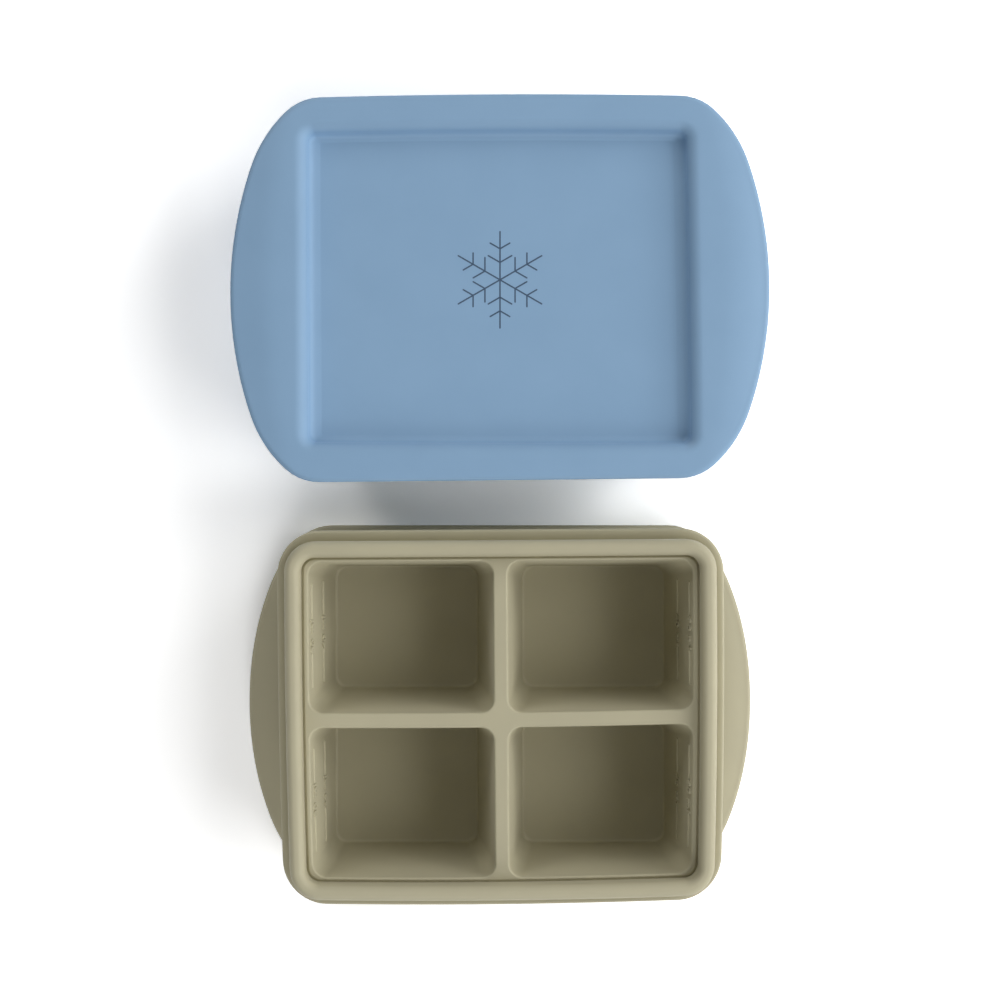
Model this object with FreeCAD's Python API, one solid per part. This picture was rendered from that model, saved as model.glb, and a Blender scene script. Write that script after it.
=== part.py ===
import FreeCAD, Part
import math
import os

# Freezer trays for baby food, moulded in silicone: two trays of four cups, each with a press-on lid.
# The blue unit is closed. The sage tray stands open on its own lid, with its cups in the lid's recess.
# Millimetres, +Z up. X runs along the lids' ears and Y from the open unit to the closed one.
# The origin is on the table, under the middle of the set.

# Cups
CUP_OPENING_X = 59.4
CUP_OPENING_Y = 48.3
CUP_CORNER_RADIUS = 5.2
CUP_DEPTH = 38.0
CUP_LEAN_X = 5.2  # how far each wall leans in between the opening and the floor
CUP_LEAN_Y = 3.2
CUP_FLOOR_FILLET = 3.0
CUP_EDGE_ROUND = 0.8
CUP_WALL = 1.8
CUP_FLOOR_THICKNESS = 2.3
POCKET_EDGE_ROUND = 6.5

# Deck between the cups, and the rim round it
DIVIDER_X = 4.6  # between left and right cups
DIVIDER_Y = 4.8  # between front and back cups
LEDGE_X = 2.2  # deck between the cups and the bead
LEDGE_Y = 1.6
BEAD_WIDTH = 4.8
BEAD_HEIGHT = 5.7
BEAD_ROUND = 2.3
BEAD_CORNER_RADIUS = 9.4
FLANGE_REACH = 3.5
FLANGE_DROP = 3.8  # from the deck down to the flange
FLANGE_THICKNESS = 2.5
FLANGE_CORNER_RADIUS = 14.0
FLANGE_EDGE_ROUND = 0.8
FLANGE_GROOVE_WIDTH = 1.4
FLANGE_GROOVE_DEPTH = 0.6

# Fill lines, moulded on the outer wall of each cup
FILL_VOLUMES_ML = (40.0, 80.0)
FILL_LINE_RADIUS = 0.35
FILL_LINE_LENGTH = 33.0
FILL_LINE_GAP = 11.0  # room for the number
CUBIC_MM_PER_ML = 1000.0

# Lid
LID_CLEARANCE = 0.3
LID_WALL = 1.8
LID_OVERHANG = 1.1  # past the skirt, at the long sides
EAR_LENGTH = 14.1  # past the skirt, at an ear's tip
LID_END_RADIUS = 125.0
LID_SHOULDER_RADIUS = 41.0
LID_CORNER_RADIUS = 16.0
LID_END_SHARE = 0.653  # part of the lid's depth that the end arc takes
EAR_THICKNESS = 2.5
EAR_DROOP_ANGLE = 8.0
EAR_BEND_INSET = 1.1  # the ear starts to bend down this far inside the skirt's side
EAR_BEND_RADIUS = 45.0
EAR_BEND_SWEEP = 272.0  # radius of the bend's line seen from above
EAR_EDGE_ROUND = 1.1
RECESS_EDGE_ROUND = 3.6
RECESS_FLOOR_FILLET = 2.0

# Places
LID_SPACING = 136.4  # between the middles of the two lids
STANDING_SHIFT = 1.2  # how far the open tray stands off the middle of its lid, away from the closed unit

# Cutters reach this far past what they cut
OVERCUT = 1.0
SAME_HEIGHT = 1e-4

# Heights in the tray, from its base
DECK_TOP = CUP_FLOOR_THICKNESS + CUP_DEPTH
BEAD_TOP = DECK_TOP + BEAD_HEIGHT
FLANGE_TOP = DECK_TOP - FLANGE_DROP
FLANGE_UNDERSIDE = FLANGE_TOP - FLANGE_THICKNESS

# Half sizes of the rim, in X and Y
CUP_BLOCK_HALF = (CUP_OPENING_X + DIVIDER_X / 2, CUP_OPENING_Y + DIVIDER_Y / 2)
BEAD_INNER_HALF = (CUP_BLOCK_HALF[0] + LEDGE_X, CUP_BLOCK_HALF[1] + LEDGE_Y)
BEAD_OUTER_HALF = (BEAD_INNER_HALF[0] + BEAD_WIDTH, BEAD_INNER_HALF[1] + BEAD_WIDTH)
FLANGE_HALF = (BEAD_OUTER_HALF[0] + FLANGE_REACH, BEAD_OUTER_HALF[1] + FLANGE_REACH)
BEAD_INNER_RADIUS = BEAD_CORNER_RADIUS - BEAD_WIDTH

# Half sizes of the lid's outline, and where its ears start to bend
LID_HALF = (FLANGE_HALF[0] + EAR_LENGTH, FLANGE_HALF[1] + LID_OVERHANG)
EAR_BEND_START = FLANGE_HALF[0] - EAR_BEND_INSET

# Heights in the lid, from the lower edge of its skirt, which stands on the tray's flange
CHANNEL_TOP = BEAD_TOP + LID_CLEARANCE - FLANGE_TOP
LID_TOP = CHANNEL_TOP + LID_WALL
RECESS_UNDERSIDE = DECK_TOP + LID_CLEARANCE - FLANGE_TOP
RECESS_FLOOR = RECESS_UNDERSIDE + LID_WALL
EAR_UNDERSIDE = LID_TOP - EAR_THICKNESS

# Middles of the units in Y: the whole set is centred
FRONT_REACH = max(LID_HALF[1], STANDING_SHIFT + FLANGE_HALF[1])
BLUE_Y = (LID_SPACING + FRONT_REACH - LID_HALF[1]) / 2
SAGE_Y = BLUE_Y - LID_SPACING


def grown(half, amount):
    """Half sizes with the same amount added in X and in Y."""
    return (half[0] + amount, half[1] + amount)


def arc_edge(centre, radius, start, end, z):
    """Arc about a vertical axis. The angles are in radians from +X."""
    angles = (start, (start + end) / 2, end)
    points = [
        FreeCAD.Vector(centre[0] + radius * math.cos(a), centre[1] + radius * math.sin(a), z)
        for a in angles
    ]
    return Part.Arc(*points).toShape()


def closed_wire(arcs):
    """Joins arcs that follow each other round an outline with straight edges."""
    edges = []
    for arc, following in zip(arcs, arcs[1:] + arcs[:1]):
        edges.append(arc)
        end = arc.lastVertex().Point
        start = following.firstVertex().Point
        if end.distanceToPoint(start) > SAME_HEIGHT:
            edges.append(Part.makeLine(end, start))
    return Part.Wire(edges)


def rounded_rectangle(half, radius, z):
    """Wire of a rectangle with round corners, flat at height z."""
    signs = ((1, 1), (-1, 1), (-1, -1), (1, -1))
    arcs = []
    for quarter, (sx, sy) in enumerate(signs):
        centre = (sx * (half[0] - radius), sy * (half[1] - radius))
        start = quarter * math.pi / 2
        arcs.append(arc_edge(centre, radius, start, start + math.pi / 2, z))
    return closed_wire(arcs)


def rounded_block(half, radius, low, high):
    """Straight block with round corners between two heights."""
    face = Part.Face(rounded_rectangle(half, radius, low))
    return face.extrude(FreeCAD.Vector(0, 0, high - low))


def edges_at(shape, z):
    """The edges of a shape that lie flat at height z."""
    def flat(box):
        return abs(box.ZMin - z) < SAME_HEIGHT and abs(box.ZMax - z) < SAME_HEIGHT

    return [e for e in shape.Edges if flat(e.BoundBox)]


def edges_within(edges, half):
    """Those edges that lie inside a centred rectangle."""
    def inside(box):
        reach_x = max(abs(box.XMin), abs(box.XMax))
        reach_y = max(abs(box.YMin), abs(box.YMax))
        return reach_x < half[0] and reach_y < half[1]

    return [e for e in edges if inside(e.BoundBox)]


# Tray


def cup_half(z):
    """Half sizes of a cup's inside at height z."""
    share = (DECK_TOP - z) / CUP_DEPTH
    return (CUP_OPENING_X / 2 - CUP_LEAN_X * share, CUP_OPENING_Y / 2 - CUP_LEAN_Y * share)


def cup_centres():
    """The middles of the four cups."""
    x = (CUP_OPENING_X + DIVIDER_X) / 2
    y = (CUP_OPENING_Y + DIVIDER_Y) / 2
    return [FreeCAD.Vector(sx * x, sy * y, 0) for sx in (-1, 1) for sy in (-1, 1)]


def cup_shape(wall, low, high, bottom_round):
    """Leaning cup or pocket, its wall that far outside the cup's inside, with a round lower edge."""
    wires = [rounded_rectangle(grown(cup_half(z), wall), CUP_CORNER_RADIUS + wall, z) for z in (low, high)]
    block = Part.makeLoft(wires, True, True)
    return block.makeFillet(bottom_round, edges_at(block, low))


def rim():
    """Solid deck, round bead above it, and the flange that the lid's skirt stands on."""
    block = rounded_block(BEAD_OUTER_HALF, BEAD_CORNER_RADIUS, FLANGE_UNDERSIDE, BEAD_TOP)
    well = rounded_block(BEAD_INNER_HALF, BEAD_INNER_RADIUS, DECK_TOP, BEAD_TOP + OVERCUT)
    block = block.cut(well)
    block = block.makeFillet(BEAD_ROUND, edges_at(block, BEAD_TOP))
    flange = rounded_block(FLANGE_HALF, FLANGE_CORNER_RADIUS, FLANGE_UNDERSIDE, FLANGE_TOP)
    round_edges = edges_at(flange, FLANGE_UNDERSIDE) + edges_at(flange, FLANGE_TOP)
    flange = flange.makeFillet(FLANGE_EDGE_ROUND, round_edges)
    groove = rounded_block(
        grown(BEAD_OUTER_HALF, FLANGE_GROOVE_WIDTH),
        BEAD_CORNER_RADIUS + FLANGE_GROOVE_WIDTH,
        FLANGE_TOP - FLANGE_GROOVE_DEPTH,
        FLANGE_TOP + OVERCUT,
    )
    return flange.cut(groove).fuse(block)


def volume_below(z):
    """What a cup holds up to height z, in cubic millimetres. The mean of three sections is exact."""
    low = CUP_FLOOR_THICKNESS
    corner_loss = (4 - math.pi) * CUP_CORNER_RADIUS**2
    areas = []
    for height in (low, (low + z) / 2, z):
        half_x, half_y = cup_half(height)
        areas.append(4 * half_x * half_y - corner_loss)
    floor_x, floor_y = cup_half(low)
    fillet_loss = (1 - math.pi / 4) * CUP_FLOOR_FILLET**2 * 4 * (floor_x + floor_y)
    return (z - low) * (areas[0] + 4 * areas[1] + areas[2]) / 6 - fillet_loss


def fill_height(volume):
    """The height at which a cup holds a volume in millilitres, found by halving."""
    low = CUP_FLOOR_THICKNESS + CUP_FLOOR_FILLET
    high = DECK_TOP
    while high - low > SAME_HEIGHT:
        middle = (low + high) / 2
        if volume_below(middle) < volume * CUBIC_MM_PER_ML:
            low = middle
        else:
            high = middle
    return low


def fill_line(centre, volume):
    """One raised line in two parts on a cup's outer wall, with room for a number between them."""
    z = fill_height(volume)
    outward = math.copysign(1, centre.x)
    x = centre.x + outward * cup_half(z)[0]
    part_length = (FILL_LINE_LENGTH - FILL_LINE_GAP) / 2
    parts = []
    for start in (-FILL_LINE_LENGTH / 2, FILL_LINE_GAP / 2):
        at = FreeCAD.Vector(x, centre.y + start, z)
        parts.append(Part.makeCylinder(FILL_LINE_RADIUS, part_length, at, FreeCAD.Vector(0, 1, 0)))
    return parts


def tray():
    """One moulding: four leaning cups hung from a deck with a beaded rim."""
    pocket = cup_shape(CUP_WALL, 0, FLANGE_TOP, POCKET_EDGE_ROUND)
    inside = cup_shape(0, CUP_FLOOR_THICKNESS, DECK_TOP + OVERCUT, CUP_FLOOR_FILLET)
    pockets = [pocket.translated(c) for c in cup_centres()]
    insides = [inside.translated(c) for c in cup_centres()]
    body = rim().fuse(pockets).removeSplitter().cut(insides)
    openings = edges_within(edges_at(body, DECK_TOP), grown(BEAD_INNER_HALF, -SAME_HEIGHT))
    body = body.makeFillet(CUP_EDGE_ROUND, openings)
    lines = [part for c in cup_centres() for v in FILL_VOLUMES_ML for part in fill_line(c, v)]
    return body.fuse(lines).removeSplitter()


# Lid


def quarter_outline():
    """Centres, radii and end angles of the three arcs from an ear's tip to the straight edge."""
    end_angle = math.asin(LID_END_SHARE * LID_HALF[1] / LID_END_RADIUS)
    end_centre = (LID_HALF[0] - LID_END_RADIUS, 0.0)
    step = LID_END_RADIUS - LID_SHOULDER_RADIUS
    shoulder_centre = (end_centre[0] + step * math.cos(end_angle), step * math.sin(end_angle))
    step = LID_SHOULDER_RADIUS - LID_CORNER_RADIUS
    corner_y = LID_HALF[1] - LID_CORNER_RADIUS
    shoulder_angle = math.asin((corner_y - shoulder_centre[1]) / step)
    corner_x = shoulder_centre[0] + step * math.cos(shoulder_angle)
    return [
        (end_centre, LID_END_RADIUS, end_angle),
        (shoulder_centre, LID_SHOULDER_RADIUS, shoulder_angle),
        ((corner_x, corner_y), LID_CORNER_RADIUS, math.pi / 2),
    ]


def end_arcs(z):
    """Arcs of the right end, from the front straight edge round the ear's tip to the back one."""
    end, shoulder, corner = quarter_outline()
    upper = [
        arc_edge(shoulder[0], shoulder[1], end[2], shoulder[2], z),
        arc_edge(corner[0], corner[1], shoulder[2], corner[2], z),
    ]
    lower = [
        arc_edge((corner[0][0], -corner[0][1]), corner[1], -corner[2], -shoulder[2], z),
        arc_edge((shoulder[0][0], -shoulder[0][1]), shoulder[1], -shoulder[2], -end[2], z),
    ]
    return lower + [arc_edge(end[0], end[1], -end[2], end[2], z)] + upper


def lid_outline(z):
    """Wire of the lid seen from above: straight long edges and bowed ends."""
    right = end_arcs(z)
    half_turn = [a.rotated(FreeCAD.Vector(0, 0, 0), FreeCAD.Vector(0, 0, 1), 180) for a in right]
    return closed_wire(right + half_turn)


def bent_section():
    """Section through the middle of the lid's plate: flat, then a round bend, then a straight slope."""
    angle = math.radians(EAR_DROOP_ANGLE)
    far = LID_HALF[0] + OVERCUT

    def on_bend(radius, turn):
        x = EAR_BEND_START + radius * math.sin(turn)
        return FreeCAD.Vector(x, 0, LID_TOP - EAR_BEND_RADIUS + radius * math.cos(turn))

    def surface(radius):
        """The plate's upper or lower line: its ends, and its flat, bend and slope."""
        start, halfway, end = [on_bend(radius, turn) for turn in (0, angle / 2, angle)]
        middle = FreeCAD.Vector(0, 0, start.z)
        tip = FreeCAD.Vector(far, 0, end.z - (far - end.x) * math.tan(angle))
        bend = Part.Arc(start, halfway, end).toShape()
        return middle, tip, [Part.makeLine(middle, start), bend, Part.makeLine(end, tip)]

    upper_middle, upper_tip, upper = surface(EAR_BEND_RADIUS)
    lower_middle, lower_tip, lower = surface(EAR_BEND_RADIUS - EAR_THICKNESS)
    tip_end = Part.makeLine(upper_tip, lower_tip)
    middle_end = Part.makeLine(lower_middle, upper_middle)
    return Part.Face(Part.Wire(upper + [tip_end] + lower[::-1] + [middle_end]))


def drooping_slab():
    """Sheet of even thickness that bends down towards each ear, along a gentle curve in plan."""
    axis_at = FreeCAD.Vector(EAR_BEND_START - EAR_BEND_SWEEP, 0, 0)
    up = FreeCAD.Vector(0, 0, 1)
    turn = math.degrees(math.asin(2 * LID_HALF[1] / EAR_BEND_SWEEP))
    section = bent_section()
    section.rotate(axis_at, up, -turn)
    ring = section.revolve(axis_at, up, 2 * turn)
    corner = FreeCAD.Vector(0, -LID_HALF[1], 0)
    right_half = ring.common(Part.makeBox(LID_HALF[0], 2 * LID_HALF[1], LID_TOP, corner))
    left_half = right_half.mirror(FreeCAD.Vector(0, 0, 0), FreeCAD.Vector(1, 0, 0))
    return right_half.fuse(left_half).removeSplitter()


def edges_over(shape, outline):
    """The edges of a shape that run along an outline seen from above, without the upright ones."""
    def along(edge):
        middle = edge.valueAt((edge.FirstParameter + edge.LastParameter) / 2)
        below = Part.Vertex(middle.x, middle.y, 0)
        upright = edge.BoundBox.ZLength > edge.Length / 2
        return not upright and outline.distToShape(below)[0] < SAME_HEIGHT

    return [e for e in shape.Edges if along(e)]


def lid_plate():
    """Top of the lid out to the tips of its ears, with a round edge."""
    outline = lid_outline(0)
    plate = Part.Face(outline).extrude(FreeCAD.Vector(0, 0, LID_TOP)).common(drooping_slab())
    return plate.makeFillet(EAR_EDGE_ROUND, edges_over(plate, outline))


def bead_channel():
    """Hollow under the lid: a channel for the bead, and the room over the deck inside it."""
    outer = rounded_block(
        grown(BEAD_OUTER_HALF, LID_CLEARANCE), BEAD_CORNER_RADIUS + LID_CLEARANCE, -OVERCUT, CHANNEL_TOP
    )
    plug = rounded_block(
        grown(BEAD_INNER_HALF, -LID_CLEARANCE),
        BEAD_INNER_RADIUS - LID_CLEARANCE,
        RECESS_UNDERSIDE,
        CHANNEL_TOP + OVERCUT,
    )
    hollow = outer.cut(plug)
    return hollow.makeFillet(BEAD_ROUND + LID_CLEARANCE, edges_at(hollow, CHANNEL_TOP))


def lid():
    """One moulding: a plate with ears, a skirt that stands on the flange, and a recess in its top."""
    skirt = rounded_block(FLANGE_HALF, FLANGE_CORNER_RADIUS, 0, LID_TOP - EAR_THICKNESS / 2)
    body = lid_plate().fuse(skirt).removeSplitter().cut(bead_channel())
    inset = LID_CLEARANCE + LID_WALL
    recess_half = grown(BEAD_INNER_HALF, -inset)
    recess = rounded_block(recess_half, BEAD_INNER_RADIUS - inset, RECESS_FLOOR, LID_TOP + OVERCUT)
    recess = recess.makeFillet(RECESS_FLOOR_FILLET, edges_at(recess, RECESS_FLOOR))
    body = body.cut(recess)
    mouth = edges_within(edges_at(body, LID_TOP), grown(recess_half, SAME_HEIGHT))
    return body.makeFillet(RECESS_EDGE_ROUND, mouth)


TRAY = tray()
LID = lid()
BLUE_PLACE = FreeCAD.Vector(0, BLUE_Y, 0)
SAGE_PLACE = FreeCAD.Vector(0, SAGE_Y, 0)
NODES = {
    "blue_tray": TRAY.translated(BLUE_PLACE),
    "blue_lid": LID.translated(BLUE_PLACE + FreeCAD.Vector(0, 0, FLANGE_TOP)),
    "sage_lid": LID.translated(SAGE_PLACE),
    "sage_tray": TRAY.translated(SAGE_PLACE + FreeCAD.Vector(0, -STANDING_SHIFT, RECESS_FLOOR)),
}

os.makedirs("parts", exist_ok=True)
for name, shape in NODES.items():
    shape.exportStep(f"parts/{name}.step")
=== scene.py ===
import math

import bmesh
import bpy
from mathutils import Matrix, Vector


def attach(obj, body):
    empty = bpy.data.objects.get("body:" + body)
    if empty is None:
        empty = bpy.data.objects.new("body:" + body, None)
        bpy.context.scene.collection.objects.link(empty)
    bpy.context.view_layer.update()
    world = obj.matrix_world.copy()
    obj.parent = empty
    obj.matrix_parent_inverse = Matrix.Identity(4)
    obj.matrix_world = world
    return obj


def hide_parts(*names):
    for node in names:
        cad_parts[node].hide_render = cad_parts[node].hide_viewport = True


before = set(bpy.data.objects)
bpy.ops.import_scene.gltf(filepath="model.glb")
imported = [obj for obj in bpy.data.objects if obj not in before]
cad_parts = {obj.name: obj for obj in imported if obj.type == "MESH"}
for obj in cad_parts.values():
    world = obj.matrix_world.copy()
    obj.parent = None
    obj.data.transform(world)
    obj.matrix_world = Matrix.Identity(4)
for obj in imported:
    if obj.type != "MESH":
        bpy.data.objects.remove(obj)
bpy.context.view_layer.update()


# --- Open sage tray -----------------------------------------------------------------------------------------
# One thick moulding of food-grade silicone: four leaning cups hung from a flat deck. Round the deck runs a
# fat bead that the lid grips, and lower down outside it a thin flange that the lid's skirt stands on. It is
# pressed in a steel mould, so every edge is round. It is soft, and this one stands a little out of true.

MM = 0.001
CORNER_STEPS = 12
SIDE_STEPS = 12
CUP_OPENING = (59.4, 48.3)
CUP_CORNER_RADIUS = 4.3
CUP_DEPTH = 38.0
CUP_LEAN = (5.2, 3.2)
CUP_FLOOR_THICKNESS = 2.3
CUP_FLOOR_FILLET = 1.0
CUP_EDGE_ROUND = 0.6
CUP_WALL = 1.8
POCKET_EDGE_ROUND = 6.5
POCKET_TOP_FILLET = 1.0
DIVIDER = (4.6, 4.8)
LEDGE = (2.2, 1.6)
BEAD_WIDTH = 4.8
BEAD_HEIGHT = 5.7
BEAD_ROUND = 2.3
BEAD_SWELL = 0.15
BEAD_INNER_RADIUS = 4.6
# Heights above the bead's inner foot and its outer foot between which it swells
INNER_SWELL_AT = (0.4, 1.6)
OUTER_SWELL_AT = (1.2, 2.4, 4.0)
# The ledge falls away into a valley at the bead's inner foot. A shallow cove runs from the bead's outer foot
# to the flange.
VALLEY_WIDTH = 0.98
VALLEY_DEPTH = 0.7
COVE_DEPTH = 0.7
FLANGE_DROP = 3.8
FLANGE_THICKNESS = 2.5
FLANGE_REACH = 3.5
FLANGE_CORNER_RADIUS = 14.0
FLANGE_EDGE_ROUND = 0.8
# Heights of the fill lines above the tray's base, and what a cup holds up to each
FILL_LINES = ((20.52, "40 ml"), (36.06, "80 ml"))
FILL_LINE_RADIUS = 0.45
FILL_LINE_LENGTH = 33.0
FILL_LINE_GAP = 11.6
FILL_TEXT_SIZE = 4.9
FILL_TEXT_HEIGHT = 0.4
# Where rings lie on the walls: below a cup's edge, and above the tray's base. Flat faces close towards their
# middle in a few shares.
CUP_WALL_RINGS = (4, 10, 16, 22, 28)
POCKET_WALL_RINGS = (27, 21, 15, 10)
CLOSING_SHARES = (0.8, 0.6, 0.4, 0.2)
SAME_PLACE = 1e-4
SAGE_TRAY_AT = (0.0, -69.35, 5.9)

DECK_TOP = CUP_FLOOR_THICKNESS + CUP_DEPTH
BEAD_TOP = DECK_TOP + BEAD_HEIGHT
FLANGE_TOP = DECK_TOP - FLANGE_DROP
FLANGE_UNDERSIDE = FLANGE_TOP - FLANGE_THICKNESS
CUP_AT = tuple((CUP_OPENING[i] + DIVIDER[i]) / 2 for i in (0, 1))
DECK_HALF = tuple(CUP_OPENING[i] + DIVIDER[i] / 2 + LEDGE[i] for i in (0, 1))
QUADRANTS = ((1, 1), (-1, 1), (-1, -1), (1, -1))


def even_shares(steps):
    """Shares from 0 to 1 in even steps."""
    return [step / steps for step in range(steps + 1)]


def smooth_share(value, low, high):
    """A share that rises smoothly from 0 to 1 between two values."""
    share = min(1.0, max(0.0, (value - low) / (high - low)))
    return share * share * (3 - 2 * share)


def rectangle_ring(low, high, radius, z, square_from=4):
    """Points round a rectangle with round corners. From corner square_from on, the corners are square."""
    centres = (
        (high[0] - radius, high[1] - radius),
        (low[0] + radius, high[1] - radius),
        (low[0] + radius, low[1] + radius),
        (high[0] - radius, low[1] + radius),
    )
    ring = []
    for quarter, centre in enumerate(centres):
        corner = []
        for share in even_shares(CORNER_STEPS):
            angle = (quarter + share) * math.pi / 2
            reach = radius
            if quarter >= square_from:
                reach /= max(abs(math.cos(angle)), abs(math.sin(angle)))
            corner.append(Vector((centre[0] + reach * math.cos(angle), centre[1] + reach * math.sin(angle), z)))
        after = centres[(quarter + 1) % 4]
        turn = (quarter + 1) * math.pi / 2
        end = Vector((after[0] + radius * math.cos(turn), after[1] + radius * math.sin(turn), z))
        side = [corner[-1].lerp(end, step / SIDE_STEPS) for step in range(1, SIDE_STEPS)]
        ring += corner + side
    return ring


def mirrored_round(quarter):
    """A closed ring from the points of one quarter, which run from the X axis to the Y axis."""
    ring = []
    for sx, sy in QUADRANTS:
        points = [Vector((sx * p.x, sy * p.y, p.z)) for p in quarter]
        if sx * sy < 0:
            points.reverse()
        ring += points[:-1]
    return ring


def rim_quarter(half, radius, z):
    """The outer part of a deck cell's ring, from the X axis to the Y axis."""
    cell = rectangle_ring((0, 0), half, radius, z, square_from=1)
    start = 3 * (CORNER_STEPS + SIDE_STEPS) + CORNER_STEPS // 2
    count = 2 * (CORNER_STEPS + SIDE_STEPS)
    return (cell + cell)[start : start + count + 1]


def rim_ring(half, radius, z):
    """Ring round the whole rim."""
    return mirrored_round(rim_quarter(half, radius, z))


def arc(centre, radius, start, end, steps):
    """Points of an arc in a section, as (distance outwards, height). Angles are in degrees from outwards."""
    angles = [math.radians(start + (end - start) * share) for share in even_shares(steps)]
    return [(centre[0] + radius * math.cos(a), centre[1] + radius * math.sin(a)) for a in angles]


def shrunk_rings(ring, shares):
    """Rings that close a flat face towards its middle."""
    middle = sum(ring, Vector()) / len(ring)
    return [[middle.lerp(p, share) for p in ring] for share in shares]


def skin(mesh, rings, first_closed=False, last_closed=False):
    """Quads over rings that follow each other, with a fan over the first or the last one."""
    loops = [[mesh.verts.new(p) for p in ring] for ring in rings]
    for near, far in zip(loops, loops[1:]):
        for i in range(len(near)):
            j = (i + 1) % len(near)
            mesh.faces.new((near[i], near[j], far[j], far[i]))
    for loop, closed in ((loops[0], first_closed), (loops[-1], last_closed)):
        if closed:
            middle = mesh.verts.new(sum((v.co for v in loop), Vector()) / len(loop))
            for i, v in enumerate(loop):
                mesh.faces.new((v, loop[(i + 1) % len(loop)], middle))


def cup_half(z, axis):
    """Half size of a cup's inside at a height."""
    return CUP_OPENING[axis] / 2 - CUP_LEAN[axis] * (DECK_TOP - z) / CUP_DEPTH


def cup_ring(sx, sy, grown, z):
    """Ring round a cup, that far outside its inner wall."""
    half = [cup_half(z, axis) + grown for axis in (0, 1)]
    low = [CUP_AT[axis] - half[axis] for axis in (0, 1)]
    high = [CUP_AT[axis] + half[axis] for axis in (0, 1)]
    ring = rectangle_ring(low, high, CUP_CORNER_RADIUS + grown, z)
    return [Vector((sx * p.x, sy * p.y, p.z)) for p in ring]


def cell_ring(sx, sy, z):
    """Ring round the quarter of the deck that belongs to a cup."""
    half = [DECK_HALF[axis] - VALLEY_WIDTH for axis in (0, 1)]
    ring = rectangle_ring((0, 0), half, BEAD_INNER_RADIUS - VALLEY_WIDTH, z, square_from=1)
    return [Vector((sx * p.x, sy * p.y, p.z)) for p in ring]


def rim_radius(out):
    """Corner radius of a ring that far outside the deck. The flange's corners are a little fuller."""
    bead_out = BEAD_WIDTH + BEAD_SWELL
    flange_out = BEAD_WIDTH + FLANGE_REACH
    fuller = FLANGE_CORNER_RADIUS - BEAD_INNER_RADIUS - flange_out
    return BEAD_INNER_RADIUS + out + fuller * max(0.0, out - bead_out) / (flange_out - bead_out)


def ring_at(out, z):
    """Ring that far outside the deck's edge."""
    return rim_ring([size + out for size in DECK_HALF], rim_radius(out), z)


def rim_section():
    """Section of the rim: the valley, the bead that swells above its foot, the cove and the flange's edge."""
    bead_out = BEAD_WIDTH + BEAD_SWELL
    edge = BEAD_WIDTH + FLANGE_REACH - FLANGE_EDGE_ROUND
    section = []
    for share in even_shares(8):
        section.append((VALLEY_WIDTH * (share - 1), DECK_TOP - VALLEY_DEPTH * smooth_share(share, 0, 1)))
    section += [(out, DECK_TOP + up) for out, up in zip((0, -BEAD_SWELL), INNER_SWELL_AT)]
    section += arc((BEAD_ROUND - BEAD_SWELL, BEAD_TOP - BEAD_ROUND), BEAD_ROUND, 180, 90, 10)
    section += arc((bead_out - BEAD_ROUND, BEAD_TOP - BEAD_ROUND), BEAD_ROUND, 90, 0, 10)
    outer_foot = zip((bead_out, bead_out, BEAD_WIDTH), reversed(OUTER_SWELL_AT))
    section += [(out, FLANGE_TOP + up) for out, up in outer_foot]
    for share in even_shares(8):
        section.append((BEAD_WIDTH + (edge - BEAD_WIDTH) * share, FLANGE_TOP - COVE_DEPTH * (1 - share) ** 2))
    section += arc((edge, FLANGE_TOP - FLANGE_EDGE_ROUND), FLANGE_EDGE_ROUND, 75, 0, 5)
    section += arc((edge, FLANGE_UNDERSIDE + FLANGE_EDGE_ROUND), FLANGE_EDGE_ROUND, 0, -90, 5)
    section += [(BEAD_WIDTH, FLANGE_UNDERSIDE), (-VALLEY_WIDTH, FLANGE_UNDERSIDE)]
    return section


def tray_mesh():
    """The whole tray round its own middle, standing at height 0."""
    mesh = bmesh.new()
    skin(mesh, [ring_at(out, z) for out, z in rim_section()])
    inside = arc((CUP_EDGE_ROUND, DECK_TOP - CUP_EDGE_ROUND), CUP_EDGE_ROUND, 90, 180, 5)
    inside += [(0, DECK_TOP - CUP_EDGE_ROUND - rise) for rise in CUP_WALL_RINGS]
    inside += arc(
        (-CUP_FLOOR_FILLET, CUP_FLOOR_THICKNESS + CUP_FLOOR_FILLET), CUP_FLOOR_FILLET, 0, -90, 8
    )
    outside = arc(
        (CUP_WALL + POCKET_TOP_FILLET, FLANGE_UNDERSIDE - POCKET_TOP_FILLET), POCKET_TOP_FILLET, 90, 180, 4
    )
    outside += [(CUP_WALL, z) for z in POCKET_WALL_RINGS]
    outside += arc((CUP_WALL - POCKET_EDGE_ROUND, POCKET_EDGE_ROUND), POCKET_EDGE_ROUND, 0, -90, 10)
    for sx, sy in QUADRANTS:
        for top, section in ((DECK_TOP, inside), (FLANGE_UNDERSIDE, outside)):
            rings = [cell_ring(sx, sy, top)] + [cup_ring(sx, sy, out, z) for out, z in section]
            rings += shrunk_rings(rings[-1], CLOSING_SHARES)
            skin(mesh, rings, last_closed=True)
    bmesh.ops.remove_doubles(mesh, verts=mesh.verts, dist=SAME_PLACE)
    bmesh.ops.recalc_face_normals(mesh, faces=mesh.faces)
    return mesh


def wall_point(sx, sy, along, up, out, z):
    """A point on a cup's outer wall: along it to the reader's right, up it from height z, and out of it."""
    x = CUP_AT[0] + cup_half(z + up, 0) - out
    return Vector((sx * x, sy * CUP_AT[1] - sx * along, z + up))


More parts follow.
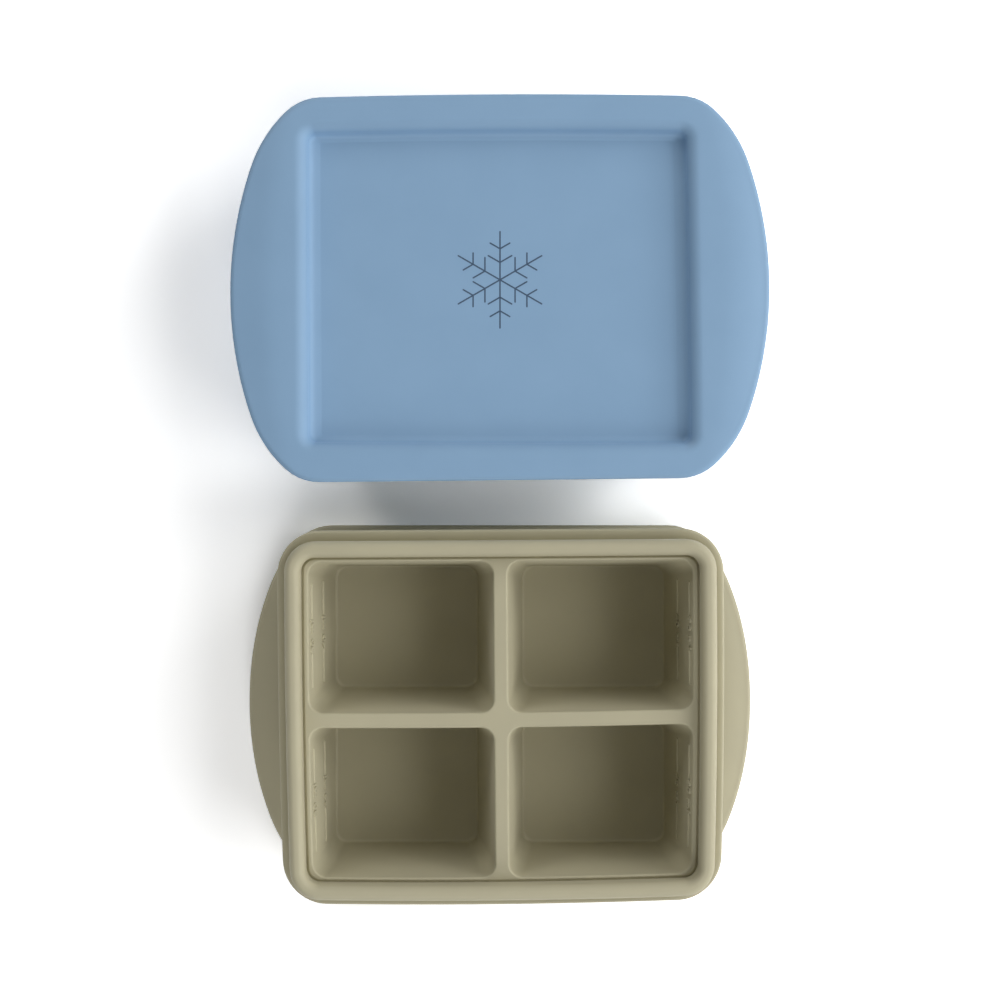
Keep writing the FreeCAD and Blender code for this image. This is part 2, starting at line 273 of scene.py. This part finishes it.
def add_fill_line(mesh, sx, sy, z, start, end):
    """Round raised line with round ends, half sunk in a cup's outer wall."""
    ends = [(start, math.radians(turn)) for turn in range(-80, 1, 20)]
    ends += [(end, math.radians(turn)) for turn in range(0, 81, 20)]
    sides = [math.radians(turn) for turn in range(0, 360, 30)]
    rings = []
    for along, turn in ends:
        reach = FILL_LINE_RADIUS * math.cos(turn)
        place = along + FILL_LINE_RADIUS * math.sin(turn)
        rings.append(
            [wall_point(sx, sy, place, reach * math.cos(a), reach * math.sin(a), z) for a in sides]
        )
    skin(mesh, rings, first_closed=True, last_closed=True)


def add_characters(mesh, sx, sy, z, text):
    """Raised characters on a cup's outer wall, read from inside the cup."""
    curve = bpy.data.curves.new(text, "FONT")
    curve.body = text
    curve.align_x = "CENTER"
    curve.align_y = "CENTER"
    curve.size = FILL_TEXT_SIZE
    curve.extrude = FILL_TEXT_HEIGHT
    curve.bevel_depth = FILL_TEXT_HEIGHT / 4
    curve.resolution_u = 3
    written = bpy.data.objects.new(text, curve)
    bpy.context.scene.collection.objects.link(written)
    bpy.context.view_layer.update()
    characters = bmesh.new()
    flat = bpy.data.meshes.new_from_object(written)
    characters.from_mesh(flat)
    bmesh.ops.remove_doubles(characters, verts=characters.verts, dist=SAME_PLACE)
    for v in characters.verts:
        v.co = wall_point(sx, sy, v.co.x, v.co.y, v.co.z, z)
    characters.to_mesh(flat)
    characters.free()
    mesh.from_mesh(flat)
    bpy.data.objects.remove(written)
    bpy.data.curves.remove(curve)
    bpy.data.meshes.remove(flat)


def marked_tray_mesh():
    """The tray with its fill lines and their volumes."""
    mesh = tray_mesh()
    for sx, sy in QUADRANTS:
        for z, text in FILL_LINES:
            add_fill_line(mesh, sx, sy, z, -FILL_LINE_LENGTH / 2, -FILL_LINE_GAP / 2)
            add_fill_line(mesh, sx, sy, z, FILL_LINE_GAP / 2, FILL_LINE_LENGTH / 2)
            add_characters(mesh, sx, sy, z, text)
    bmesh.ops.recalc_face_normals(mesh, faces=mesh.faces)
    return mesh


def through(values, share):
    """The curve through three values, which stand at shares -1, 0 and 1."""
    low, middle, high = values
    return middle + share * (high - low) / 2 + share**2 * ((high + low) / 2 - middle)


def shift_at(place, shifts):
    """The shift at a place, from a table of nine shifts over the bead's outline."""
    across, along = (place[axis] / (DECK_HALF[axis] + BEAD_WIDTH) for axis in (0, 1))
    parts = []
    for axis in (0, 1):
        column = [through([shift[axis] for shift in row], across) for row in shifts]
        parts.append(through(column, along))
    return Vector((*parts, 0))


def bend(mesh, shifts, height):
    """Moves a moulding sideways, as its rim's shifts say, and less and less from there down to its base."""
    for v in mesh.verts:
        v.co += smooth_share(v.co.z + height, 0, FLANGE_UNDERSIDE) * shift_at(v.co, shifts)
    return mesh


# Edges that turn by more than this show as an edge
SHARP_TURN = math.radians(50)


def placed(mesh, name, at, material):
    """Turns a mesh in millimetres into an object in the row frame, smooth apart from its sharp edges."""
    for v in mesh.verts:
        v.co = (v.co + Vector(at)) * MM
    data = bpy.data.meshes.new(name)
    mesh.to_mesh(data)
    mesh.free()
    data.shade_smooth()
    data.set_sharp_from_angle(angle=SHARP_TURN)
    piece = bpy.data.objects.new(name, data)
    bpy.context.scene.collection.objects.link(piece)
    data.materials.append(material)
    normals = piece.modifiers.new("even_shading", "WEIGHTED_NORMAL")
    normals.keep_sharp = True
    return piece


def linear(hex_colour):
    """sRGB hex to linear red, green, blue and alpha."""
    channels = [int(hex_colour[i : i + 2], 16) / 255 for i in (1, 3, 5)]
    return [c / 12.92 if c <= 0.04045 else ((c + 0.055) / 1.055) ** 2.4 for c in channels] + [1.0]


def add_node(tree, kind, attributes, sockets):
    """Adds a node. A socket takes a plain value, or another node's output."""
    node = tree.nodes.new(kind)
    for name, value in attributes.items():
        setattr(node, name, value)
    for name, value in sockets.items():
        if isinstance(value, bpy.types.NodeSocket):
            tree.links.new(value, node.inputs[name])
        else:
            node.inputs[name].default_value = value
    return node


# The colour sockets of a Mix node
MIX_FIRST = 6
MIX_SECOND = 7
MIX_RESULT = 2
# Bloom lies in patches of about 20 mm. The real grain is about 0.1 mm, too fine to show, so it is drawn at
# 0.6 mm.
BLOOM_PATCH = 0.020
BLASTED_GRAIN = 0.0006
BLASTED_DEPTH = 0.00003


def moulded_silicone(name, colour, bloom_colour):
    """Silicone rubber from a bead-blasted mould: matt and a little velvety, with a faint uneven bloom."""
    material = bpy.data.materials.new(name)
    material.use_nodes = True
    tree = material.node_tree
    tree.nodes.clear()
    place = add_node(tree, "ShaderNodeTexCoord", {}, {}).outputs["Object"]
    bloom = add_node(
        tree, "ShaderNodeTexNoise", {}, {"Vector": place, "Scale": 1 / BLOOM_PATCH, "Detail": 3.0}
    )
    share = add_node(
        tree,
        "ShaderNodeMapRange",
        {},
        {"Value": bloom.outputs["Fac"], "From Min": 0.35, "From Max": 0.65},
    )
    mixed = add_node(
        tree,
        "ShaderNodeMix",
        {"data_type": "RGBA"},
        {"Factor": share.outputs["Result"], MIX_FIRST: linear(colour), MIX_SECOND: linear(bloom_colour)},
    )
    blasted = add_node(
        tree, "ShaderNodeTexNoise", {}, {"Vector": place, "Scale": 1 / BLASTED_GRAIN, "Detail": 2.0}
    )
    gloss = add_node(
        tree,
        "ShaderNodeMapRange",
        {},
        {"Value": blasted.outputs["Fac"], "To Min": 0.52, "To Max": 0.64},
    )
    grain = add_node(
        tree,
        "ShaderNodeBump",
        {},
        {"Height": blasted.outputs["Fac"], "Strength": 0.25, "Distance": BLASTED_DEPTH},
    )
    shader = add_node(
        tree,
        "ShaderNodeBsdfPrincipled",
        {},
        {
            "Base Color": mixed.outputs[MIX_RESULT],
            "Roughness": gloss.outputs["Result"],
            "Normal": grain.outputs["Normal"],
            "IOR": 1.41,
            "Sheen Weight": 0.08,
            "Sheen Roughness": 0.4,
        },
    )
    add_node(tree, "ShaderNodeOutputMaterial", {}, {"Surface": shader.outputs["BSDF"]})
    return material


sage_silicone = moulded_silicone("moulded_silicone_sage", "#ADA78D", "#B0AA8F")
# Shifts of the soft rim from true: rows from -Y to +Y, and in each row from -X to +X
SAGE_SHIFTS = (
    ((2.5, 0.4), (0.8, 0.2), (-1.0, 1.9)),
    ((0.9, -0.5), (0.4, -0.4), (0.0, 1.0)),
    ((0.4, -0.6), (0.0, -0.2), (-0.3, 0.3)),
)
sage_tray_mesh = bend(marked_tray_mesh(), SAGE_SHIFTS, 0)
sage_tray = placed(sage_tray_mesh, "sage_tray_moulding", SAGE_TRAY_AT, sage_silicone)
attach(sage_tray, "sage_tray")
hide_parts("sage_tray")


# --- Sage lid under the open tray ---------------------------------------------------------------------------
# One silicone moulding: a plate whose two bowed ears droop a little, a shallow recess in its top that a tray
# can stand in, and underneath a skirt and a channel that snap over a tray's bead. It is pressed in one shot,
# without a seam or an insert. The open tray stands on this one.

SAGE_LID_AT = (0.0, -68.15, 0.0)
LID_CLEARANCE = 0.3
LID_WALL = 1.8
LID_OVERHANG = 1.1
EAR_LENGTH = 14.1
LID_END_RADIUS = 125.0
LID_SHOULDER_RADIUS = 41.0
LID_CORNER_RADIUS = 16.0
LID_END_SHARE = 0.653
EAR_THICKNESS = 2.5
EAR_DROOP = math.radians(8)
# The right ear hangs this much lower than the left one
RIGHT_EAR_DROOP = math.radians(7)
EAR_BEND_INSET = 1.1
EAR_BEND_RADIUS = 45.0
EAR_BEND_SWEEP = 272.0
EAR_EDGE_ROUND = 1.25
EAR_EDGE_REACH = 2.0
SIDE_EDGE_ROUND = 1.0
# The edge's round grows from that of the side to that of the ear from here on, over this length
EAR_EDGE_FROM = 57.0
EAR_EDGE_OVER = 15.0
# The recess: how far its mouth rolls over outside its wall, and its ramp reaches inside it, at the ends and
# the sides
RECESS_ROLL = (4.2, 3.5)
RECESS_ROLL_HEIGHT = 3.6
RECESS_RAMP = (4.1, 2.6)
# The part of the ramp's rise that is even. The rest comes late, as this power of the way up.
RAMP_EVEN = 0.35
RAMP_LATE_POWER = 6
# The ramp's corners are at most this much sharper than the wall's
RAMP_CORNER_LOSS = 1.5
# Where the recess lies from true, in the same order as the tray's shifts
RECESS_SHIFTS = (
    ((0.8, 1.7), (0.0, 0.5), (-0.9, -0.1)),
    ((0.5, 0.9), (-0.5, 0.3), (-1.6, 0.1)),
    ((0.4, 0.2), (-1.2, 0.2), (-2.8, 0.2)),
)
SKIRT_EDGE_ROUND = 0.5
SKIRT_RINGS = (6.0, 3.0)
# The share of the outline's points that lie on an ear, the rest being on the corners
OUTLINE_SIDE_SHARE = 0.62
SAME_ANGLE = 1e-9

FLANGE_HALF = tuple(size + BEAD_WIDTH + FLANGE_REACH for size in DECK_HALF)
LID_HALF = (FLANGE_HALF[0] + EAR_LENGTH, FLANGE_HALF[1] + LID_OVERHANG)
CHANNEL_TOP = BEAD_TOP + LID_CLEARANCE - FLANGE_TOP
LID_TOP = CHANNEL_TOP + LID_WALL
RECESS_UNDERSIDE = DECK_TOP + LID_CLEARANCE - FLANGE_TOP
RECESS_FLOOR = RECESS_UNDERSIDE + LID_WALL


def ear_drop(x, y):
    """How far the lid's top lies below its middle: nothing, then a round bend, then a straight slope."""
    beyond = math.hypot(abs(x) + EAR_BEND_SWEEP - FLANGE_HALF[0] + EAR_BEND_INSET, y) - EAR_BEND_SWEEP
    droop = EAR_DROOP + (RIGHT_EAR_DROOP if x > 0 else 0.0)
    bent = EAR_BEND_RADIUS * math.sin(droop)
    if beyond <= 0:
        return 0.0
    if beyond < bent:
        return EAR_BEND_RADIUS - math.sqrt(EAR_BEND_RADIUS**2 - beyond**2)
    return EAR_BEND_RADIUS * (1 - math.cos(droop)) + (beyond - bent) * math.tan(droop)


def outline_arcs():
    """Centre, radius, first and last angle of the arcs from an ear's tip to the long side."""
    end = math.asin(LID_END_SHARE * LID_HALF[1] / LID_END_RADIUS)
    end_centre = (LID_HALF[0] - LID_END_RADIUS, 0.0)
    step = LID_END_RADIUS - LID_SHOULDER_RADIUS
    shoulder_centre = (end_centre[0] + step * math.cos(end), step * math.sin(end))
    step = LID_SHOULDER_RADIUS - LID_CORNER_RADIUS
    corner_y = LID_HALF[1] - LID_CORNER_RADIUS
    shoulder = math.asin((corner_y - shoulder_centre[1]) / step)
    corner_centre = (shoulder_centre[0] + step * math.cos(shoulder), corner_y)
    return (
        (end_centre, LID_END_RADIUS, 0.0, end),
        (shoulder_centre, LID_SHOULDER_RADIUS, end, shoulder),
        (corner_centre, LID_CORNER_RADIUS, shoulder, math.pi / 2),
    )


def outline_quarter():
    """Points of the lid's outline and their outward directions, one for each point of a rim quarter."""
    arcs = outline_arcs()
    length = sum(radius * (last - first) for _, radius, first, last in arcs)
    corner_x = arcs[-1][0][0]
    skirt = rim_quarter(FLANGE_HALF, FLANGE_CORNER_RADIUS, 0)
    side_end = CORNER_STEPS // 2 + SIDE_STEPS
    arc_end = side_end + CORNER_STEPS
    points = []
    outwards = []
    for i, p in enumerate(skirt):
        if i > arc_end:
            points.append(Vector((corner_x * p.x / skirt[arc_end].x, LID_HALF[1], 0)))
            outwards.append(Vector((0, 1, 0)))
            continue
        if i <= side_end:
            along = length * OUTLINE_SIDE_SHARE * p.y / skirt[side_end].y
        else:
            along = length * (
                OUTLINE_SIDE_SHARE + (1 - OUTLINE_SIDE_SHARE) * (i - side_end) / CORNER_STEPS
            )
        for centre, radius, first, last in arcs:
            angle = first + along / radius
            if angle <= last + SAME_ANGLE:
                break
            along -= radius * (last - first)
        direction = Vector((math.cos(angle), math.sin(angle), 0))
        points.append(Vector((centre[0], centre[1], 0)) + radius * direction)
        outwards.append(direction)
    return points, outwards


def recess_rings():
    """Rings from the recess's floor up its ramp and wall, and over its rounded mouth."""
    wall_out = -LID_CLEARANCE - LID_WALL
    wall_half = [size + wall_out for size in DECK_HALF]
    wall_foot = LID_TOP - RECESS_ROLL_HEIGHT
    section = []
    for share in even_shares(8):
        late = (1 - RAMP_EVEN) * share**RAMP_LATE_POWER
        rise = (RAMP_EVEN * share + late) * (wall_foot - RECESS_FLOOR)
        section.append([reach * (share - 1) for reach in RECESS_RAMP] + [RECESS_FLOOR + rise])
    for turn in range(10, 91, 8):
        across = 1 - math.cos(math.radians(turn))
        up = RECESS_ROLL_HEIGHT * math.sin(math.radians(turn))
        section.append([reach * across for reach in RECESS_ROLL] + [wall_foot + up])
    rings = []
    for out_x, out_y, z in section:
        radius = rim_radius(wall_out) + max(out_y, -RAMP_CORNER_LOSS)
        ring = rim_ring((wall_half[0] + out_x, wall_half[1] + out_y), radius, z)
        rings.append([p + shift_at(p, RECESS_SHIFTS) for p in ring])
    return rings


def lid_mesh():
    """The whole lid round its own middle, its skirt's lower edge at height 0."""
    recess = recess_rings()
    points, outwards = outline_quarter()
    points = mirrored_round(points)
    outwards = mirrored_round(outwards)
    ear_shares = [min(1.0, max(0.0, (abs(p.x) - EAR_EDGE_FROM) / EAR_EDGE_OVER)) for p in points]
    edge_rounds = [SIDE_EDGE_ROUND + (EAR_EDGE_ROUND - SIDE_EDGE_ROUND) * share for share in ear_shares]
    reach = EAR_EDGE_REACH / EAR_EDGE_ROUND
    inset = [p - n * r * reach for p, n, r in zip(points, outwards, edge_rounds)]

    def draped(ring, below):
        return [Vector((p.x, p.y, LID_TOP - below - ear_drop(p.x, p.y))) for p in ring]

    top = [draped([a.lerp(b, step / 14) for a, b in zip(recess[-1], inset)], 0) for step in range(1, 14)]
    edge = []
    turns = [(turn, False) for turn in range(90, -1, -15)] + [(turn, True) for turn in range(0, -91, -15)]
    for turn, lower in turns:
        angle = math.radians(turn)
        ring = []
        for p, n, r in zip(inset, outwards, edge_rounds):
            below = EAR_THICKNESS - r if lower else r
            z = LID_TOP - below - ear_drop(p.x, p.y) + r * math.sin(angle)
            out = r * reach * math.cos(angle)
            ring.append(Vector((p.x + n.x * out, p.y + n.y * out, z)))
        edge.append(ring)
    skirt_out = BEAD_WIDTH + FLANGE_REACH
    skirt_top = ring_at(skirt_out, 0)
    under = [
        draped([a.lerp(b, step / 4) for a, b in zip(inset, skirt_top)], EAR_THICKNESS) for step in range(1, 5)
    ]
    channel_out = BEAD_WIDTH + LID_CLEARANCE
    channel_round = BEAD_ROUND + LID_CLEARANCE
    plug_out = -LID_CLEARANCE
    section = [(skirt_out, z) for z in SKIRT_RINGS]
    section += arc((skirt_out - SKIRT_EDGE_ROUND, SKIRT_EDGE_ROUND), SKIRT_EDGE_ROUND, 0, -90, 4)
    section += arc((channel_out + SKIRT_EDGE_ROUND, SKIRT_EDGE_ROUND), SKIRT_EDGE_ROUND, -90, -180, 4)
    section += arc((channel_out - channel_round, CHANNEL_TOP - channel_round), channel_round, 0, 90, 6)
    section += arc((plug_out + channel_round, CHANNEL_TOP - channel_round), channel_round, 90, 180, 6)
    section += arc(
        (plug_out - SKIRT_EDGE_ROUND, RECESS_UNDERSIDE + SKIRT_EDGE_ROUND), SKIRT_EDGE_ROUND, 0, -90, 4
    )
    below = [ring_at(out, z) for out, z in section]
    floor = shrunk_rings(recess[0], reversed(CLOSING_SHARES))
    underside = shrunk_rings(below[-1], CLOSING_SHARES)
    mesh = bmesh.new()
    skin(mesh, floor + recess + top + edge + under + below + underside, first_closed=True, last_closed=True)
    bmesh.ops.recalc_face_normals(mesh, faces=mesh.faces)
    return mesh


# Under the tray's weight the sage lid's long edges draw in, and so do its ears towards their ends
EDGE_DRAW = 1.6
EDGE_DRAW_FROM = 50.0
EAR_DRAW = 0.4
EAR_END_DRAW = 1.5
EAR_END = 45.0
EAR_END_POWER = 4
EAR_END_LIMIT = 1.2
EAR_DRAW_FROM = 60.0


def drawn_in(mesh):
    """The lid with its rim drawn in towards its middle."""
    for v in mesh.verts:
        x, y = abs(v.co.x), abs(v.co.y)
        end = EAR_DRAW + EAR_END_DRAW * min(y / EAR_END, EAR_END_LIMIT) ** EAR_END_POWER
        v.co.x -= math.copysign(end * smooth_share(x, EAR_DRAW_FROM, LID_HALF[0]), v.co.x)
        v.co.y -= math.copysign(EDGE_DRAW * smooth_share(y, EDGE_DRAW_FROM, LID_HALF[1]), v.co.y)
    return mesh


sage_lid = placed(drawn_in(lid_mesh()), "sage_lid_moulding", SAGE_LID_AT, sage_silicone)
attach(sage_lid, "sage_lid")
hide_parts("sage_lid")


# --- Blue tray inside the closed unit -----------------------------------------------------------------------
# The same moulding as the open tray, pressed of dusty blue silicone. It stands on the table, and its lid
# covers its rim.

BLUE_TRAY_AT = (0.0, 68.25, 0.0)

blue_silicone = moulded_silicone("moulded_silicone_blue", "#80A0BE", "#82A2C0")
# Shifts of the closed unit's rim from true, in the same order as the sage tray's
BLUE_SHIFTS = (
    ((0.0, -0.5), (0.0, 0.25), (0.0, 1.0)),
    ((0.0, -0.9), (0.0, 0.1), (0.0, 0.2)),
    ((0.0, -1.3), (0.0, -0.05), (0.0, -0.6)),
)
blue_tray_mesh = bend(marked_tray_mesh(), BLUE_SHIFTS, 0)
blue_tray = placed(blue_tray_mesh, "blue_tray_moulding", BLUE_TRAY_AT, blue_silicone)
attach(blue_tray, "blue_tray")
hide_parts("blue_tray")


# --- Blue lid -----------------------------------------------------------------------------------------------
# The same silicone moulding as the sage lid. It is pushed on over the blue tray's bead, and its skirt stands
# on the flange.

BLUE_LID_AT = (0.0, 68.25, FLANGE_TOP)

blue_lid_mesh = bend(lid_mesh(), BLUE_SHIFTS, FLANGE_TOP)
blue_lid = placed(blue_lid_mesh, "blue_lid_moulding", BLUE_LID_AT, blue_silicone)
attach(blue_lid, "blue_lid")
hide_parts("blue_lid")


# --- Snowflake printed on the blue lid ----------------------------------------------------------------------
# A plain sign for the freezer in the middle of the recess: one thin coat of dark silicone ink, pressed on
# with a soft pad, so the line is even and its edge crisp. It bonds to the rubber and is hardly proud of it.

FLAKE_AT = (0.0, 71.4)
FLAKE_REACH = 15.5
FLAKE_LINE = 0.48
# Where branches leave an arm, and how long they are
FLAKE_BRANCHES = ((5.6, 4.4), (10.0, 3.7))
FLAKE_TIP = 0.7
INK_PROUD = 0.02
INK_SUNK = 0.03
# Ink lies a little thinner in patches of about 2 mm
INK_PATCH = 0.002


def flake_side():
    """One side of an arm from the middle to the tip, as (along the arm, across it)."""
    half = FLAKE_LINE / 2
    ahead, aside = math.cos(math.pi / 3), math.sin(math.pi / 3)
    side = [(half * math.sqrt(3), half)]
    for out, length in FLAKE_BRANCHES:
        end = (out + length * ahead, length * aside)
        side += [
            (out - half / math.sqrt(3), half),
            (end[0] - half * aside, end[1] + half * ahead),
            (end[0] + half * ahead, end[1] + half * aside),
            (end[0] + half * aside, end[1] - half * ahead),
            (out + half * math.sqrt(3), half),
        ]
    side += [(FLAKE_REACH, half), (FLAKE_REACH + half * FLAKE_TIP, half * FLAKE_TIP)]
    return side


def flake_mesh():
    """The snowflake's flat plate: one arm, turned six times round the middle."""
    side = flake_side()
    arm = [(along, -across) for along, across in side[1:]] + [(FLAKE_REACH + FLAKE_LINE / 2, 0)] + side[::-1]
    outline = []
    for turn in range(30, 390, 60):
        ahead, aside = math.cos(math.radians(turn)), math.sin(math.radians(turn))
        outline += [(along * ahead - across * aside, along * aside + across * ahead) for along, across in arm]
    mesh = bmesh.new()
    low, high = ([mesh.verts.new((x, y, z)) for x, y in outline] for z in (-INK_SUNK, INK_PROUD))
    for i in range(len(outline)):
        j = (i + 1) % len(outline)
        mesh.faces.new((low[i], low[j], high[j], high[i]))
    flats = [mesh.faces.new(low[::-1]), mesh.faces.new(high)]
    mesh.normal_update()
    bmesh.ops.triangulate(mesh, faces=flats)
    return mesh


ink = bpy.data.materials.new("silicone_ink")
ink.use_nodes = True
tree = ink.node_tree
tree.nodes.clear()
place = add_node(tree, "ShaderNodeTexCoord", {}, {}).outputs["Object"]
coat = add_node(tree, "ShaderNodeTexNoise", {}, {"Vector": place, "Scale": 1 / INK_PATCH, "Detail": 2.0})
mixed = add_node(
    tree,
    "ShaderNodeMix",
    {"data_type": "RGBA"},
    {"Factor": coat.outputs["Fac"], MIX_FIRST: linear("#2F4257"), MIX_SECOND: linear("#3A4F66")},
)
shader = add_node(
    tree,
    "ShaderNodeBsdfPrincipled",
    {},
    {"Base Color": mixed.outputs[MIX_RESULT], "Roughness": 0.55, "IOR": 1.43},
)
add_node(tree, "ShaderNodeOutputMaterial", {}, {"Surface": shader.outputs["BSDF"]})

flake = placed(flake_mesh(), "blue_lid_snowflake", (*FLAKE_AT, FLANGE_TOP + RECESS_FLOOR), ink)
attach(flake, "blue_lid")


# --- Table, light and camera --------------------------------------------------------------------------------
# A white seamless table under soft light that comes from the right and rather low, and a camera that looks
# straight down. Seen paper is lifted to white, and the light that it throws back stays that of plain paper.

TABLE_SIZE = 2.0
PAPER_SEEN = (1.7, 1.7, 1.7, 1.0)
table_mesh = bmesh.new()
bmesh.ops.create_grid(table_mesh, x_segments=1, y_segments=1, size=TABLE_SIZE / 2)
table_data = bpy.data.meshes.new("white_table")
table_mesh.to_mesh(table_data)
table_mesh.free()
table = bpy.data.objects.new("white_table", table_data)
bpy.context.scene.collection.objects.link(table)


def seen_ray(tree):
    """1 for a ray from the camera, a gloss or a clear piece, and 0 for a ray that only carries light."""
    rays = add_node(tree, "ShaderNodeLightPath", {}, {})
    seen = rays.outputs["Is Camera Ray"]
    for kind in ("Is Glossy Ray", "Is Transmission Ray"):
        seen = add_node(tree, "ShaderNodeMath", {"operation": "MAXIMUM"}, {0: seen, 1: rays.outputs[kind]})
        seen = seen.outputs["Value"]
    return seen


paper = bpy.data.materials.new("white_paper")
paper.use_nodes = True
tree = paper.node_tree
tree.nodes.clear()
shade = add_node(
    tree,
    "ShaderNodeMix",
    {"data_type": "RGBA"},
    {"Factor": seen_ray(tree), MIX_FIRST: linear("#E7E7E7"), MIX_SECOND: PAPER_SEEN},
)
diffuse = add_node(tree, "ShaderNodeBsdfDiffuse", {}, {"Color": shade.outputs[MIX_RESULT]})
add_node(tree, "ShaderNodeOutputMaterial", {}, {"Surface": diffuse.outputs["BSDF"]})
table_data.materials.append(paper)

# Soft boxes stand round the table and face its middle: degrees from the right, degrees up, and watts
SOFT_BOX_SIZE = 0.9
SOFT_BOX_AWAY = 2.0
SOFT_BOXES = (
    (0, 12, 9.5),
    (0, 27, 7.5),
    (30, 27, 11.0),
    (30, 45, 5.5),
    (90, 65, 2.0),
    (120, 12, 4.0),
    (120, 27, 10.5),
    (240, 27, 1.5),
    (270, 27, 12.0),
    (270, 45, 4.0),
    (330, 45, 11.0),
)
for around, up, watts in SOFT_BOXES:
    soft_box = bpy.data.lights.new(f"soft_box_{around}_{up}", "AREA")
    soft_box.shape = "SQUARE"
    soft_box.size = SOFT_BOX_SIZE
    soft_box.energy = watts
    stand = bpy.data.objects.new(soft_box.name, soft_box)
    level = SOFT_BOX_AWAY * math.cos(math.radians(up))
    stand.location = (
        level * math.cos(math.radians(around)),
        level * math.sin(math.radians(around)),
        SOFT_BOX_AWAY * math.sin(math.radians(up)),
    )
    stand.rotation_euler = (-stand.location).to_track_quat("-Z", "Y").to_euler()
    bpy.context.scene.collection.objects.link(stand)

# The room behind the table is white where it is seen, and gives no light of its own
room = bpy.data.worlds.new("white_room")
bpy.context.scene.world = room
room.use_nodes = True
tree = room.node_tree
tree.nodes.clear()
white = add_node(tree, "ShaderNodeBackground", {}, {"Color": linear("#FFFFFF"), "Strength": seen_ray(tree)})
add_node(tree, "ShaderNodeOutputWorld", {}, {"Surface": white.outputs["Background"]})

CAMERA_AT = (0.0, 0.00055, 0.5519)
CAMERA_LENS = 57.0
CAMERA_SENSOR = 36.0
camera = bpy.data.cameras.new("camera")
camera.lens = CAMERA_LENS
camera.sensor_width = CAMERA_SENSOR
camera.clip_start = 0.01
camera_holder = bpy.data.objects.new("camera", camera)
camera_holder.location = CAMERA_AT
bpy.context.scene.collection.objects.link(camera_holder)
bpy.context.scene.camera = camera_holder
bpy.context.scene.view_settings.view_transform = "Standard"
